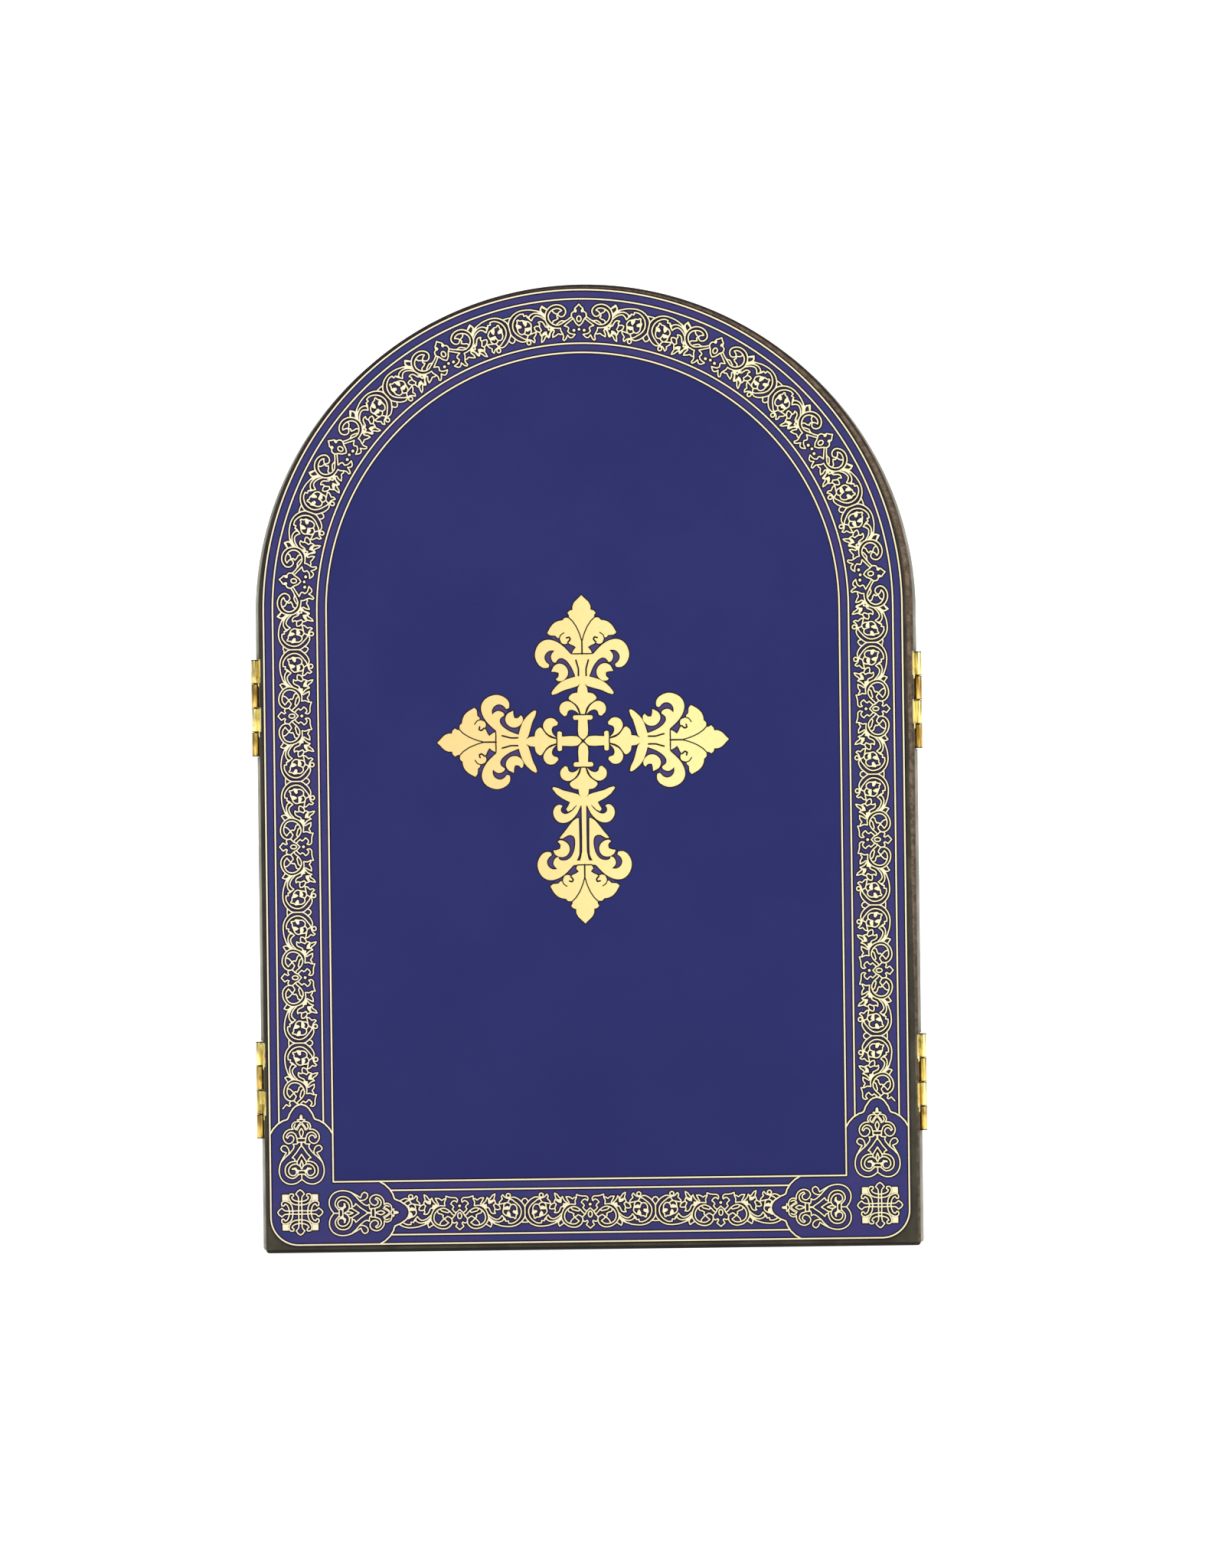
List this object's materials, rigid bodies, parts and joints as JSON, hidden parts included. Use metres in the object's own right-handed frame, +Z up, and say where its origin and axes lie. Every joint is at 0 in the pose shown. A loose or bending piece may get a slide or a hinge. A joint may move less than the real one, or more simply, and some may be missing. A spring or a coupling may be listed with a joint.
{
  "type": "folding icon triptych",
  "caption": "Arched folding table icon triptych, closed: blue back sheet with a gold foil cross and vine border, two half-arch wings on small brass butt hinges.",
  "frame": {"origin": "centre of the closed triptych's footprint, on the surface that it stands on", "axes": "+Z up along the height, +X to the right seen from the back, the printed back of the centre board faces -Y and the closed wings lie on the +Y side"},
  "size_m": [0.1468, 0.0198, 0.21],
  "materials": {
    "lacquered_board": "dark olive lacquer over fibreboard, edges rubbed to brown",
    "blue_sheet": "matt printed sheet, dark blue with gold foil",
    "gold_sheet": "satin gold-ground printed sheet",
    "hinge_brass": "tumbled, lightly scratched"
  },
  "bodies": {
    "centre": {"centre_board": "lacquered_board", "back_sheet": "blue_sheet", "front_sheet": "gold_sheet", "upper_left_board_leaf": "hinge_brass", "upper_left_board_nail_low": "hinge_brass", "upper_left_board_nail_high": "hinge_brass", "upper_left_hinge_pin": "hinge_brass", "lower_left_board_leaf": "hinge_brass", "lower_left_board_nail_low": "hinge_brass", "lower_left_board_nail_high": "hinge_brass", "lower_left_hinge_pin": "hinge_brass", "upper_right_board_leaf": "hinge_brass", "upper_right_board_nail_low": "hinge_brass", "upper_right_board_nail_high": "hinge_brass", "upper_right_hinge_pin": "hinge_brass", "lower_right_board_leaf": "hinge_brass", "lower_right_board_nail_low": "hinge_brass", "lower_right_board_nail_high": "hinge_brass", "lower_right_hinge_pin": "hinge_brass"},
    "left_wing": {"left_wing_board": "lacquered_board", "left_wing_inner_sheet": "gold_sheet", "left_wing_outer_sheet": "blue_sheet", "upper_left_wing_leaf": "hinge_brass", "upper_left_wing_nail_low": "hinge_brass", "upper_left_wing_nail_high": "hinge_brass", "lower_left_wing_leaf": "hinge_brass", "lower_left_wing_nail_low": "hinge_brass", "lower_left_wing_nail_high": "hinge_brass"},
    "right_wing": {"right_wing_board": "lacquered_board", "right_wing_inner_sheet": "gold_sheet", "right_wing_outer_sheet": "blue_sheet", "upper_right_wing_leaf": "hinge_brass", "upper_right_wing_nail_low": "hinge_brass", "upper_right_wing_nail_high": "hinge_brass", "lower_right_wing_leaf": "hinge_brass", "lower_right_wing_nail_low": "hinge_brass", "lower_right_wing_nail_high": "hinge_brass"}
  },
  "joints": [
    {"name": "left_wing_hinge", "type": "hinge", "parent": "centre", "child": "left_wing", "pos_m": [-0.0725, 0, 0.077], "axis": [0, 0, 1], "range_deg": [0, 180]},
    {"name": "right_wing_hinge", "type": "hinge", "parent": "centre", "child": "right_wing", "pos_m": [0.0725, 0, 0.077], "axis": [0, 0, -1], "range_deg": [0, 180]}
  ]
}
